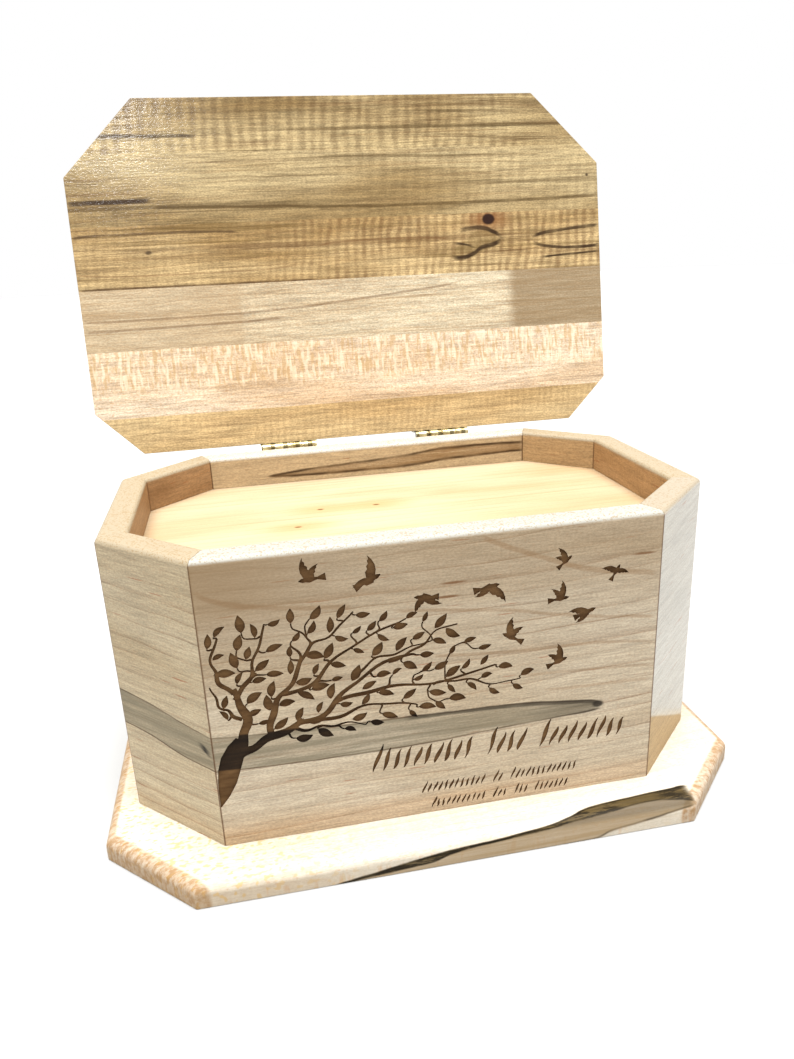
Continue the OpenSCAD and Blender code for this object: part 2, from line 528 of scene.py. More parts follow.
def engrave(bm, shapes):
    """Cuts (outline, depth) shapes into the largest face that looks along -Y."""
    bm.normal_update()
    face = max((f for f in bm.faces if f.normal.y < -0.99), key=lambda f: f.calc_area())
    rim = list(face.verts)
    flat = rim[0].co.y
    points = [Vector((v.co.x, v.co.z)) for v in rim]
    polygons = [list(range(len(rim)))]
    depths = [0.0]
    for shape, depth in shapes:
        polygons.append(list(range(len(points), len(points) + len(shape))))
        points += shape
        depths.append(depth)
    placed, _, triangles, origins, _, covers = delaunay_2d_cdt(
        [p / MM for p in points], [], polygons, 1, 1e-4, True
    )
    bmesh.ops.delete(bm, geom=[face], context="FACES_ONLY")
    made = {}

    def vertex(index, depth):
        key = (index, depth)
        if key not in made:
            old = [o for o in origins[index] if o < len(rim)]
            if old and depth == 0.0:
                made[key] = rim[old[0]]
            else:
                x, z = placed[index] * MM
                made[key] = bm.verts.new((x, flat + depth, z))
        return made[key]

    edges = {}
    for triangle, cover in zip(triangles, covers):
        if 0 not in cover:
            continue
        depth = max(depths[i] for i in cover)
        corners = list(triangle)
        a, b, c = (placed[i] for i in corners)
        if (b - a).cross(c - a) < 0:
            corners.reverse()
        new = bm.faces.new([vertex(i, depth) for i in corners])
        new.material_index = 1 if depth > 0 else 0
        for i, start in enumerate(corners):
            end = corners[(i + 1) % 3]
            edges.setdefault((min(start, end), max(start, end)), []).append((start, end, depth))
    for sides in edges.values():
        if len(sides) == 2 and sides[0][2] != sides[1][2]:
            low, high = sorted(sides, key=lambda side: -side[2])
            start, end, deep = low
            shallow = high[2]
            wall = bm.faces.new((
                vertex(start, deep), vertex(start, shallow), vertex(end, shallow), vertex(end, deep)
            ))
            wall.material_index = 2
    bm.normal_update()


PICTURE_DEPTH = 0.8 * MM
STROKE_DEPTH = 0.45 * MM


def front_picture():
    """Every shape cut into the front, with its depth."""
    draw = random.Random(11)
    shapes = [(shape, PICTURE_DEPTH) for shape in grow_tree(draw) + flock()]
    for left, right, foot, height, groups in STROKE_ROWS:
        row = stroke_row(draw, left * MM, right * MM, foot * MM, height * MM, groups)
        shapes += [(shape, STROKE_DEPTH) for shape in row]
    return shapes


# ---- materials

def srgb(red, green, blue):
    """A colour named by its 0 to 255 screen values, as linear RGBA."""

    def linear(value):
        share = value / 255
        return share / 12.92 if share <= 0.04045 else ((share + 0.055) / 1.055) ** 2.4

    return (linear(red), linear(green), linear(blue), 1.0)


class Wire:
    """A node's output, which can be used in sums."""

    def __init__(self, graph, socket):
        self.graph = graph
        self.socket = socket

    def __add__(self, other):
        return self.graph.math("ADD", self, other)

    def __sub__(self, other):
        return self.graph.math("SUBTRACT", self, other)

    def __mul__(self, other):
        return self.graph.math("MULTIPLY", self, other)

    def __truediv__(self, other):
        return self.graph.math("DIVIDE", self, other)

    def __abs__(self):
        return self.graph.math("ABSOLUTE", self)


class Graph:
    """A material's nodes, with a short call for each kind that is used."""

    def __init__(self, name):
        self.material = bpy.data.materials.new(name)
        self.material.use_nodes = True
        self.tree = self.material.node_tree
        self.tree.nodes.clear()

    def node(self, kind, inputs=(), **settings):
        """A new node, with its inputs joined to wires or set to values."""
        made = self.tree.nodes.new("ShaderNode" + kind)
        for key, value in settings.items():
            setattr(made, key, value)
        for key, value in dict(inputs).items():
            if isinstance(value, Wire):
                self.tree.links.new(value.socket, made.inputs[key])
            else:
                made.inputs[key].default_value = value
        return made

    def wire(self, kind, inputs=(), output=0, **settings):
        """One output of a new node."""
        return Wire(self, self.node(kind, inputs, **settings).outputs[output])

    def math(self, operation, a, b=0.0):
        return self.wire("Math", {0: a, 1: b}, operation=operation)

    def smooth(self, value, low, high, to_low=0.0, to_high=1.0):
        """A smooth step from to_low to to_high while the value goes from low to high."""
        inputs = {0: value, 1: low, 2: high, 3: to_low, 4: to_high}
        return self.wire("MapRange", inputs, interpolation_type="SMOOTHSTEP")

    def blend(self, factor, a, b):
        return self.wire("Mix", {0: factor, 6: a, 7: b}, 2, data_type="RGBA")

    def shade(self, colour, factor):
        """The colour made brighter or darker by a factor."""
        return self.wire("VectorMath", {0: colour, "Scale": factor}, operation="SCALE")

    def noise(self, vector, scale, detail=2.0, rough=0.5, distortion=0.0):
        """Soft noise from 0 to 1; the scale is in steps per metre along each axis."""
        place = self.wire("VectorMath", {0: vector, 1: scale}, operation="MULTIPLY")
        inputs = {"Vector": place, "Scale": 1.0, "Detail": detail, "Roughness": rough}
        return self.wire("TexNoise", {**inputs, "Distortion": distortion})

    def split(self, vector):
        made = self.node("SeparateXYZ", {0: vector})
        return [Wire(self, socket) for socket in made.outputs]

    def join(self, x, y, z):
        return self.wire("CombineXYZ", {0: x, 1: y, 2: z})

    def curve(self, value, points):
        """A smooth curve through (value, result) points given in millimetres."""
        lows = [min(p[i] for p in points) for i in (0, 1)]
        highs = [max(p[i] for p in points) for i in (0, 1)]
        spans = [max(high - low, 0.01) for low, high in zip(lows, highs)]
        share = self.wire("MapRange", {0: value, 1: lows[0] * MM, 2: highs[0] * MM})
        made = self.node("FloatCurve", {1: share})
        line = made.mapping.curves[0]
        places = [((p[0] - lows[0]) / spans[0], (p[1] - lows[1]) / spans[1]) for p in points]
        line.points[0].location = places[0]
        line.points[1].location = places[-1]
        for place in places[1:-1]:
            line.points.new(*place)
        made.mapping.update()
        return Wire(self, made.outputs[0]) * (spans[1] * MM) + lows[1] * MM

    def surface(self, colour, roughness, height, bump_depth, **settings):
        """Ends the graph in a shader with the colour, roughness and a bump from the height."""
        inputs = {"Height": height, "Distance": bump_depth, "Strength": 1.0}
        bump = self.wire("Bump", inputs)
        looks = {"Base Color": colour, "Roughness": roughness, "Normal": bump, "Coat Normal": bump}
        shader = self.wire("BsdfPrincipled", {**looks, **settings})
        output = self.node("OutputMaterial", {0: shader})
        output.is_active_output = True
        return self.material


class Wood(Graph):
    """A wood material: its grain coordinates, and the colour that its layers build up.
    Sizes and places are given in millimetres; x is along the grain and y across or up."""

    def __init__(self, name):
        super().__init__(name)
        grain = self.wire("Attribute", output="Vector", attribute_name="grain")
        board = self.wire("Attribute", output="Vector", attribute_name="board")
        self.x, self.y, self.z = self.split(grain)
        self.place, self.half, seed = self.split(board)
        shift = self.join(seed * 1.37, seed * 0.71, seed * 0.53)
        self.own = self.wire("VectorMath", {0: grain, 1: shift}, operation="ADD")
        self.relief = []

    def cloud(self, along, across, detail=2.0, rough=0.5, distortion=0.0):
        """The board's own noise, in steps per metre along and across its grain."""
        return self.noise(self.own, (along, across, across), detail, rough, distortion)

    def tint(self, amount, colour):
        self.colour = self.blend(amount, self.colour, colour)

    def dim(self, factor):
        self.colour = self.shade(self.colour, factor)

    def tone(self, light, dark, across=22, along=5):
        """Broad soft change of tone that runs with the grain."""
        cloud = self.cloud(along, across, 3.0, 0.55, 0.4)
        self.colour = self.blend(self.smooth(cloud, 0.34, 0.68), light, dark)

    def rings(self, line, spacing, pith, slope, wobble, strength):
        """Growth lines: shells round a far pith, cut by the board into long arches."""
        warp = self.cloud(7, 26, 3.0) - 0.5
        small = self.cloud(30, 160) - 0.5
        across = self.y - pith[0] * MM + warp * (wobble * MM) + small * (0.08 * wobble * MM)
        deep = self.x * slope + (self.z + pith[1] * MM)
        radius = self.math("SQRT", across * across + deep * deep)
        count = radius / (spacing * MM)
        count = count + self.noise(self.join(count, 0.0, 3.1), (1, 1, 1), 1.0) * 1.6
        share = self.math("FRACT", count)
        back = self.smooth(share, 0.0, 0.05, 1.0, 0.0)
        peak = self.math("MAXIMUM", self.math("POWER", share, 11.0), back)
        amount = peak * self.smooth(self.cloud(14, 60, 2.0, 0.6), 0.3, 0.75, 0.15, 1.0)
        self.tint(amount * strength, line)
        self.dim(share * -0.05 + 1.025)
        self.relief.append((amount, -0.25))

    def fibre(self, strength):
        """Fine pores and fibres along the grain."""
        fine = self.cloud(90, 1300, 3.0, 0.7)
        coarse = self.cloud(34, 420, 2.0, 0.6)
        share = self.smooth(fine * 0.6 + coarse * 0.4, 0.3, 0.7)
        self.dim(share * strength + (1 - strength / 2))
        pores = self.smooth(self.cloud(800, 1500, 2.0, 0.6), 0.3, 0.7)
        self.dim(pores * (0.7 * strength) + (1 - 0.35 * strength))
        self.relief.append((fine, 0.6))

    def rays(self, colour, scale, low, high, strength, where=None):
        """Short ray flecks; the scale is flecks per metre along, across and into the board."""
        amount = self.smooth(self.noise(self.own, scale, 1.0, 0.4), low, high)
        if where is not None:
            amount = amount * where
        self.tint(amount * strength, colour)

    def curly(self, spacing, strength, colour, low=0.35, high=0.6, side=None):
        """Curly figure: narrow uneven bars across the grain that come and go, stronger on one side."""
        step = spacing * MM
        warp = self.cloud(38, 26) - 0.5
        ragged = self.cloud(90, 240, 2.0, 0.6) - 0.5
        along = self.x + (self.y * 0.1 + warp * (1.7 * step)) + ragged * (0.35 * step)
        wave = self.math("SINE", along * (2 * math.pi / step))
        each = self.smooth(self.cloud(0.55 / step, 90, 3.0, 0.6), 0.28, 0.7, 0.15, 1.0)
        patch = self.smooth(self.cloud(9, 26), low, high)
        if side is not None:
            patch = patch * self.smooth(self.x, (side - 40) * MM, (side + 40) * MM, 0.3, 1.0)
        amount = self.smooth(wave, -0.7, 1.0) * each * patch
        self.tint(amount * strength, colour)
        lights = self.smooth(wave, 0.2, -1.0) * patch
        self.dim(lights * (0.25 * strength) + 1.0)
        self.relief.append((amount, -0.2))

    def streaks(self, colour, strength, along=5, across=260, low=0.55, high=0.72):
        """Long thin stains along the grain."""
        long = self.smooth(self.cloud(along, across, 4.0, 0.62, 0.6), low, high)
        patch = self.smooth(self.cloud(7, 34), 0.3, 0.7, 0.25, 1.0)
        self.tint(long * patch * strength, colour)

    def end_grain(self, half, corner_sum, deep, colour, strength):
        """Thirstier, darker wood where the board's ends and cut corners cross the grain. The
        board's half length, the sum that x and y reach on its cut corners, and deep are in metres."""
        x = abs(self.x)
        ends = self.smooth(x, half - deep, half - 0.7 * deep)
        slant = deep * math.sqrt(2)
        corners = self.smooth(x + abs(self.y), corner_sum - slant, corner_sum - 0.7 * slant)
        dots = self.noise(self.own, (260, 700, 260), 3.0, 0.65)
        amount = self.math("MAXIMUM", ends, corners) * self.smooth(dots, 0.35, 0.65, 0.45, 1.0)
        self.tint(amount * strength, colour)

    def wobbled(self, value, size, along=40, across=130):
        """The value with a little natural wander."""
        return value + (self.cloud(along, across, 3.0, 0.6) - 0.5) * (size * MM)

    def ends(self, low, high):
        """One between two places along the grain, fading out at both."""
        rise = self.smooth(self.x, (low - 0.1) * MM, (low + 5) * MM)
        fall = self.smooth(self.x, (high - 5) * MM, (high + 0.1) * MM, 1.0, 0.0)
        return rise * fall

    def line(self, points, width, strength, colour, wander=1.2):
        """A thin dark line along a curve of (along, across) points."""
        gap = abs(self.wobbled(self.y, wander) - self.curve(self.x, points))
        ink = self.smooth(self.cloud(60, 200, 2.0, 0.6), 0.25, 0.6, 0.65, 1.0)
        near = self.smooth(gap, 0.35 * width * MM, width * MM, 1.0, 0.0)
        self.tint(near * self.ends(points[0][0], points[-1][0]) * ink * strength, colour)

    def zone(self, top, bottom, colour, strength, edge, edge_colour, soft=0.6, streaks=0.35,
             wander=1.4, edge_width=0.9, where=None):
        """A stained zone between two curves, streaky inside, with thin dark borders."""
        across = self.wobbled(self.y, wander)
        borders = [self.curve(self.x, points) for points in (top, bottom)]
        below = self.smooth(borders[0] - across, -soft * MM, soft * MM)
        above = self.smooth(across - borders[1], -soft * MM, soft * MM)
        first = min(top[0][0], bottom[0][0])
        last = max(top[-1][0], bottom[-1][0])
        inside = below * above * self.ends(first, last)
        if where is not None:
            inside = inside * where
        streak = self.cloud(12, 340, 4.0, 0.7, 0.3)
        self.tint(inside * self.smooth(streak, 0.3, 0.7, strength * (1 - streaks), strength), colour)
        ink = self.smooth(self.cloud(40, 150, 2.0, 0.6), 0.3, 0.65, 0.35, 1.0)
        for border in borders:
            gap = abs(across - border)
            near = self.smooth(gap, 0.3 * edge_width * MM, edge_width * MM, 1.0, 0.0)
            self.tint(near * inside * ink * edge, edge_colour)
        return inside

    def spot(self, x, y, size, colour, strength, stretch=1.0, soft=0.5, where=1.0):
        """A round or long mark at a place."""
        along = (self.wobbled(self.x, 1.5) - x * MM) / stretch
        across = self.y - y * MM
        gap = self.math("SQRT", along * along + across * across)
        near = self.smooth(gap, size * MM * (1 - soft), size * MM * (1 + soft), 1.0, 0.0)
        self.tint(near * where * strength, colour)

    def finish(self, roughness=0.5, bump=0.05, coat=0.0, specular=0.15, peel=(420, 1000, 1000)):
        """Satin lacquer over the wood, with its pores just telegraphing through."""
        height = 0.5
        for amount, weight in self.relief:
            height = amount * weight + height
        orange = self.noise(self.own, peel)
        height = orange * 1.1 + height
        rough = orange * 0.12 + (roughness - 0.06)
        lacquer = {"Coat Weight": coat, "Coat Roughness": 0.13, "Specular IOR Level": specular}
        return self.surface(self.colour, rough, height, bump * MM, **lacquer)


GROWTH_LINE = srgb(108, 78, 50)
MINERAL = srgb(128, 72, 40)
SPALT_LINE = srgb(44, 28, 13)
SIDE_LIGHT = srgb(160, 146, 122)
SIDE_DARK = srgb(146, 126, 98)
BROWN = srgb(88, 58, 28)

# the band's borders, as places along the perimeter from the front's middle and heights
BAND_TOP = [(-280, 66), (-240, 73), (-200, 72), (-150, 70.8), (-97, 63.8), (-68, 62), (-18, 60.5),
            (26, 59.4), (52, 57.2), (68, 55.4), (72, 50.8)]
BAND_BOTTOM = [(-280, 65), (-240, 57), (-200, 55), (-150, 54), (-97, 47.5), (-19, 45.9), (19, 47.6),
               (50, 49.2), (66, 50.0), (72, 50.6)]


class WallWood(Wood):
    """Maple of the walls: fine arches, warm heartwood below, a painted dark warm shade on the inner face,
    the grey band with its dark border lines, and the glue lines. A board's own marks follow, then
    close()."""

    def __init__(self, name, light=SIDE_LIGHT, dark=SIDE_DARK, tail=0.3, tail_edge=(17, 25),
                 tail_fall=0.0, tail_colour=srgb(162, 126, 86), rim=srgb(139, 127, 106),
                 inner=srgb(140, 103, 64), lines=0.72):
        super().__init__(name)
        self.tone(light, dark)
        self.rings(GROWTH_LINE, 7.2, (220, 12), 0.22, 12, lines)
        height = self.y + (self.x - (BODY_HALF.x - CUT)) * tail_fall
        low, high = tail_edge
        self.warm = self.smooth(self.wobbled(height, 4, 9, 30), low * MM, high * MM, 1.0, 0.0)
        self.tint(self.warm * tail, tail_colour)
        # painted shading: every wall is made a little lighter near its foot and darker towards the rim
        self.dim(self.smooth(self.y, 20 * MM, 120 * MM, 1.05, 0.93))
        # painted shade: the inner face takes the inner colour, darker and warmer, standing for the shade
        # and warm bounce light inside the tray
        self.inside = self.smooth(self.z, WALL - 2.6 * MM, WALL - 1.0 * MM)
        self.tint(self.inside * 0.8, inner)
        self.fibre(0.42)
        self.rays(srgb(150, 104, 66), (500, 4200, 70), 0.60, 0.72, 0.3)
        self.rays(MINERAL, (55, 900, 120), 0.72, 0.78, 0.6)
        # the pale rim on the top faces is partly the rim's own colour and partly a painted highlight from
        # the overhead light
        self.top = self.smooth(self.y, RIM_Z - 2.4 * MM, RIM_Z - 1.0 * MM)
        self.rim = rim
        self.band()
        seam = self.half - abs(self.place)
        self.tint(self.smooth(seam, 0.0, 0.7 * MM, 0.85, 0.0), srgb(84, 54, 30))

    def band(self):
        """The grey band round the front left of the body, darker towards its tip."""
        dark = srgb(40, 32, 22)
        outer = self.smooth(self.z, 3 * MM, 9 * MM, 1.0, 0.0)
        self.zone(BAND_TOP, BAND_BOTTOM, srgb(98, 91, 73), 0.85, 0.9, srgb(70, 50, 32), 0.3, 0.65,
                  where=outer)
        tip = outer * self.smooth(self.x, 30 * MM, 66 * MM)
        self.zone(BAND_TOP, BAND_BOTTOM, srgb(72, 64, 50), 0.75, 0.9, dark, where=tip)
        self.line([(x, z - 0.9) for x, z in BAND_TOP if x > -20], 1.3, 0.75, dark, 0.8)
        self.spot(69.5, 53.2, 1.6, srgb(30, 23, 14), 0.9, 1.6, 0.35, outer)

    def close(self, coat=0.0):
        """Lays the pale rim, partly its own colour and partly a painted highlight, with its ray flecks
        over the rest, and finishes the material.
        """
        self.tint(self.top, self.rim)
        self.rays(srgb(118, 90, 44), (1300, 1500, 1500), 0.54, 0.64, 0.5, self.top)
        return self.finish(coat=coat)


def front_wood():
    """The front board, with a painted shade over its upper left, a pale rim that is partly painted
    highlight, and its boldest growth lines.
    """
    wood = WallWood("maple_front", srgb(166, 154, 134), srgb(150, 134, 110), rim=srgb(146, 144, 136))
    # painted shade: the upper left of the front is tinted darker, most strongly at the far left
    upper = wood.smooth(wood.wobbled(wood.y, 20, 5, 20), 70 * MM, 134 * MM)
    left = wood.smooth(wood.x, -85 * MM, -20 * MM, 1.0, 0.45)
    wood.tint(upper * left * 0.82, srgb(118, 96, 68))
    wood.line([(-95, 127.5), (-87, 121.5), (-58, 115.5), (-34, 113)], 1.6, 0.45, srgb(110, 82, 52), 3)
    for points, width, strength in (
        ([(16, 136.5), (31, 129.6), (48, 122.6), (62, 117.6), (95, 111.6)], 1.7, 0.5),
        ([(-20, 109), (25, 103.8), (55, 97.5), (95, 91.7)], 1.1, 0.45),
        ([(-5, 87), (38, 83.8), (64, 83.2), (95, 79.8)], 1.1, 0.45),
        ([(34, 72), (65, 70.8), (95, 68.7)], 1.0, 0.35),
        ([(43, 64), (70, 62.7), (95, 62.3)], 1.0, 0.35),
    ):
        wood.line(points, width, strength, srgb(116, 88, 58), 1.5)
    for x, z in ((87, 121.4), (6, 118.3), (3, 112.5)):
        wood.spot(x, z, 0.55, srgb(92, 58, 28), 0.8, 9.0)
    return wood.close()


def front_left_wood():
    """The front left corner board, with a short black slash where the band meets the mitre."""
    wood = WallWood("maple_left_corner", srgb(164, 151, 126), srgb(152, 136, 108), 0.12)
    wood.line([(-104, 59), (-99, 56.4), (-95, 53.6)], 2.2, 1.0, srgb(16, 13, 10), 0.3)
    return wood.close()


def front_right_wood():
    """The front right corner board: a pale greyish painted sheen, standing for the white surround
    reflected in its lacquer, over tan wood at its foot below a slanted line.
    """
    # painted reflection: the pale colours stand for the sheen of the white surround, and the growth lines
    # are kept faint under it
    wood = WallWood("maple_right_corner", srgb(160, 155, 143), srgb(152, 146, 132), 1.0, (42, 44),
                    0.515, srgb(152, 128, 92), lines=0.12)
    return wood.close(wood.smooth(wood.warm, 0.0, 1.0, 0.7, 0.0))


def back_left_wood():
    """The back left corner board, with a brown stain on its inner face."""
    wood = WallWood("maple_back_left")
    wood.spot(-255, 131, 6, srgb(96, 62, 30), 0.38, 1.7, 0.9, wood.inside)
    return wood.close()


def back_wood():
    """The back board, plain outside, with a spalt lens on its inner face."""
    # the inner colour here is painted light and shade on the inner face, and the paler rim colour is
    # partly a painted highlight
    wood = WallWood("maple_back", srgb(160, 146, 120), srgb(146, 124, 94), rim=srgb(166, 160, 149),
                    inner=srgb(172, 150, 116))
    inner = wood.smooth(wood.z, 6 * MM, 11 * MM)
    top = [(300, 133.8), (345, 134.5), (376, 131.8), (420, 129.5), (452, 126.9)]
    bottom = [(300, 128), (345, 127), (376, 124.7), (420, 124.6), (452, 126.5)]
    wood.zone(top, bottom, srgb(112, 80, 42), 0.9, 1.0, SPALT_LINE, streaks=0.75, edge_width=2,
              where=inner)
    return wood.close()


def char_wood(name, colour, dark):
    """Laser-charred wood: brown, with fine scan lines and darker clouds, black in the band."""
    wood = Wood(name)
    wood.colour = wood.blend(wood.smooth(wood.cloud(60, 260, 3.0, 0.6), 0.3, 0.7), colour, dark)
    scan = wood.math("SINE", wood.y * (2 * math.pi / (0.55 * MM)))
    wood.dim(scan * 0.1 + 0.95)
    wood.zone(BAND_TOP, BAND_BOTTOM, srgb(24, 19, 15), 0.95, 0.4, srgb(16, 12, 10), streaks=0.15)
    height = scan * 0.4 + 0.5
    return wood.surface(wood.colour, 0.8, height, 0.08 * MM, **{"Specular IOR Level": 0.08})


def base_wood():
    """Pale maple of the base, with tan end grain and a dark mottled spalt streak at the front, darkened
    further by painted shade where it turns over the rounded edge.
    """
    wood = Wood("maple_base")
    wood.tone(srgb(184, 177, 163), srgb(174, 164, 147))
    wood.rings(srgb(168, 138, 104), 4.6, (-30, 20), 0.10, 14, 0.35)
    wood.fibre(0.2)
    wood.curly(9, 0.16, srgb(172, 146, 112), low=0.4, high=0.65)
    left = wood.smooth(wood.x, -95 * MM, -20 * MM, 1.0, 0.15)
    wood.rays(srgb(176, 148, 98), (380, 700, 300), 0.56, 0.66, 0.75, left)
    wood.rays(srgb(170, 122, 76), (450, 3600, 90), 0.58, 0.7, 0.3)
    low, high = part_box("base_plate")
    wood.end_grain(high.x, high.x + high.y - CUT, BASE_R, srgb(128, 94, 52), 0.85)
    sides = wood.smooth(wood.z, BASE_R, high.z - BASE_R * 0.6, 1.0, 0.0)
    wood.tint(sides * wood.smooth(wood.x, -80 * MM, -20 * MM, 0.3, 0.1), srgb(140, 112, 76))

    # from here on the second place runs up the front side and then back along the top
    wood.y = wood.z + (wood.y - low.y)
    upper = [(-53, 0), (-37, 2.3), (-21, 5), (-3, 7.2), (23, 9.4), (41, 11.8), (51, 14.6), (62, 18.4),
             (81, 20.2), (101, 21.4), (107, 22), (109.5, 20)]
    lower = [(-53, -0.6), (58, -0.4), (68, 2.4), (86, 4.9), (96, 6.6), (105, 8.3), (109.5, 9.3)]
    core_foot = [(-53, -0.6), (-21, 2.2), (-12, 2.8), (-3, 5.2), (14, 7.4), (41, 9.4), (51, 11.2),
                 (69, 13), (88, 15), (97, 14), (109.5, 10)]
    stain = wood.zone(upper, lower, srgb(136, 115, 84), 0.95, 0.85, srgb(52, 43, 30), streaks=0.3,
                      edge_width=1.5)
    # painted shade: inside the stained streak the colour is darkened as the front's rounded edge turns up
    # towards the overhead light
    wood.tint(stain, wood.shade(wood.colour, wood.smooth(wood.y, 5 * MM, 11 * MM, 1.0, 0.36)))
    wood.zone(upper, core_foot, srgb(70, 56, 28), 0.97, 0.85, srgb(26, 20, 8), streaks=0.15,
              edge_width=1.2)
    mottle = wood.smooth(wood.cloud(70, 420, 4.0, 0.75), 0.4, 0.54)
    mottle = mottle * wood.smooth(abs(wood.x - 84 * MM), 5 * MM, 14 * MM, 0.2, 1.0)
    wood.zone(upper, core_foot, srgb(22, 16, 6), 0.97, 0.6, srgb(20, 15, 6), streaks=0.1,
              where=mottle)
    return wood.finish(specular=0.1)


def panel_wood():
    """Creamy straight-grained inner panel with a few pin knots."""
    wood = Wood("maple_panel")
    wood.tone(srgb(168, 149, 122), srgb(156, 132, 100))
    wood.rings(srgb(140, 104, 58), 5, (300, 30), 0.03, 7, 0.6)
    wood.fibre(0.12)
    for x, y in ((-36, 16), (-8, 15), (-49, -8)):
        wood.spot(x, y, 7, srgb(150, 116, 62), 0.5, 2.2, 0.95)
        wood.spot(x, y, 1.0, srgb(88, 58, 22), 0.9, 1.6)
    return wood.finish(0.45)


# ---- the lid's staves

LID_OLIVE = srgb(66, 48, 20)
LID_FLECK = srgb(158, 118, 74)
LID_BARS = srgb(74, 50, 24)
# the lacquer is glossier round a place near the front left corner
GLOSS_PLACE = Vector((-122, -94)) * MM
GLOSS_CORE = 28 * MM
GLOSS_REACH = 72 * MM


def stave_1(wood):
    """Curly, with a short black line near one end."""
    wood.curly(6.4, 0.42, LID_BARS, low=0.25, high=0.5)
    wood.streaks(LID_OLIVE, 0.8, low=0.52, high=0.64)
    wood.streaks(BROWN, 0.5, 8, 520, 0.52, 0.66)
    wood.line([(-150, -81.5), (-94, -81), (-78, -80)], 1.3, 0.8, SPALT_LINE)
    wood.spot(143, -60, 0.8, SPALT_LINE, 0.8)


def stave_2(wood):
    """Long dark lines along the grain."""
    wood.curly(6.8, 0.2, LID_BARS)
    wood.streaks(LID_OLIVE, 0.75, low=0.53, high=0.65)
    wood.streaks(BROWN, 0.4, 8, 520, 0.54, 0.68)
    wood.line([(-150, -48), (-128, -48.4), (-104, -48.6)], 1.9, 0.95, SPALT_LINE)
    wood.line([(-106, -45), (-40, -43.5), (40, -42), (150, -44)], 1.2, 0.75, LID_OLIVE)
    wood.spot(142, -55, 0.8, SPALT_LINE, 0.8)


def stave_3(wood):
    """The knot, its halo and the dark zone lines round it."""
    wood.curly(5.0, 0.5, srgb(84, 52, 24), low=0.2, high=0.42, side=-30)
    olive = srgb(92, 72, 36)
    ink = srgb(40, 24, 8)
    faint = srgb(96, 66, 38)
    wood.streaks(srgb(80, 54, 28), 0.7, 7, 420, 0.53, 0.66)
    wood.streaks(olive, 0.6, 7, 300, 0.5, 0.64)
    wood.spot(81, -32.4, 6.0, srgb(112, 64, 28), 0.6, 1.8, 0.8)
    top = [(56, -11.5), (66, -11), (78, -15.5), (89, -20)]
    bottom = [(56, -13), (66, -21), (78, -27), (89, -24)]
    wood.zone(top, bottom, olive, 0.5, 0.0, ink)
    for points, width in (
        ([(62, -26.6), (70, -27.6), (76, -27.8), (83, -25.6), (89.5, -21.5)], 1.8),
        ([(57, -12.8), (62.6, -11.6), (70.8, -13.8), (76.5, -17.2), (82.9, -18.4), (89.5, -22)], 1.9),
        ([(58, -20), (66, -19), (73, -16.5)], 0.9),
        ([(106, -20), (112, -23.2), (127, -25.1), (150, -27)], 1.3),
        ([(106, -20), (115.5, -16.2), (131, -14.8), (150, -15.6)], 1.3),
        ([(111, -10), (130, -11), (150, -12.3)], 0.9),
    ):
        wood.line(points, width, 0.95, ink, 1.0)
    wood.line([(-20, -21), (20, -24), (58, -22.5)], 0.8, 0.6, faint)
    wood.line([(-150, -30), (-110, -32), (-60, -31)], 0.9, 0.75, srgb(60, 40, 22))
    wood.line([(-150, -12), (-90, -10), (-30, -13)], 0.7, 0.5, faint)
    wood.spot(-110, -22, 1.0, SPALT_LINE, 0.8, 1.6)
    wood.spot(81, -32.4, 3.0, srgb(34, 16, 10), 0.98, 1.25, 0.2)
    wood.line([(-150, -3.9), (-60, -3.9), (-20, -3.8)], 1.0, 0.8, srgb(60, 38, 20))


def stave_4(wood):
    """Pale, with a browner patch at each end."""
    wood.rays(LID_FLECK, (420, 2600, 300), 0.5, 0.7, 0.35)
    wood.streaks(srgb(128, 98, 60), 0.5, 7, 360, 0.5, 0.66)
    left = wood.smooth(wood.wobbled(wood.x, 3), -66 * MM, -62 * MM, 1.0, 0.0)
    wood.tint(left * 0.35, srgb(150, 124, 90))
    right = wood.smooth(wood.wobbled(wood.x, 3), 88 * MM, 96 * MM)
    wood.tint(right * 0.7, srgb(112, 90, 60))
    wood.line([(-150, 13), (-60, 12), (0, 8), (60, 2)], 0.9, 0.5, BROWN)
    wood.line([(-150, 18), (-100, 17.5), (-40, 16)], 0.9, 0.6, BROWN)


def stave_5(wood):
    """Quarter-sawn: a ladder of broad rays over its front half."""
    wood.rays(LID_FLECK, (500, 900, 1500), 0.58, 0.7, 0.4)
    upper = wood.smooth(wood.wobbled(wood.y, 6), 47 * MM, 55 * MM, 1.0, 0.0)
    wood.rays(srgb(166, 136, 92), (750, 150, 900), 0.5, 0.64, 0.6, upper)
    wood.rays(srgb(222, 206, 182), (560, 120, 800), 0.5, 0.66, 0.45, upper)


def stave_6(wood):
    """Plain, with a faint curl."""
    wood.curly(4, 0.16, BROWN)


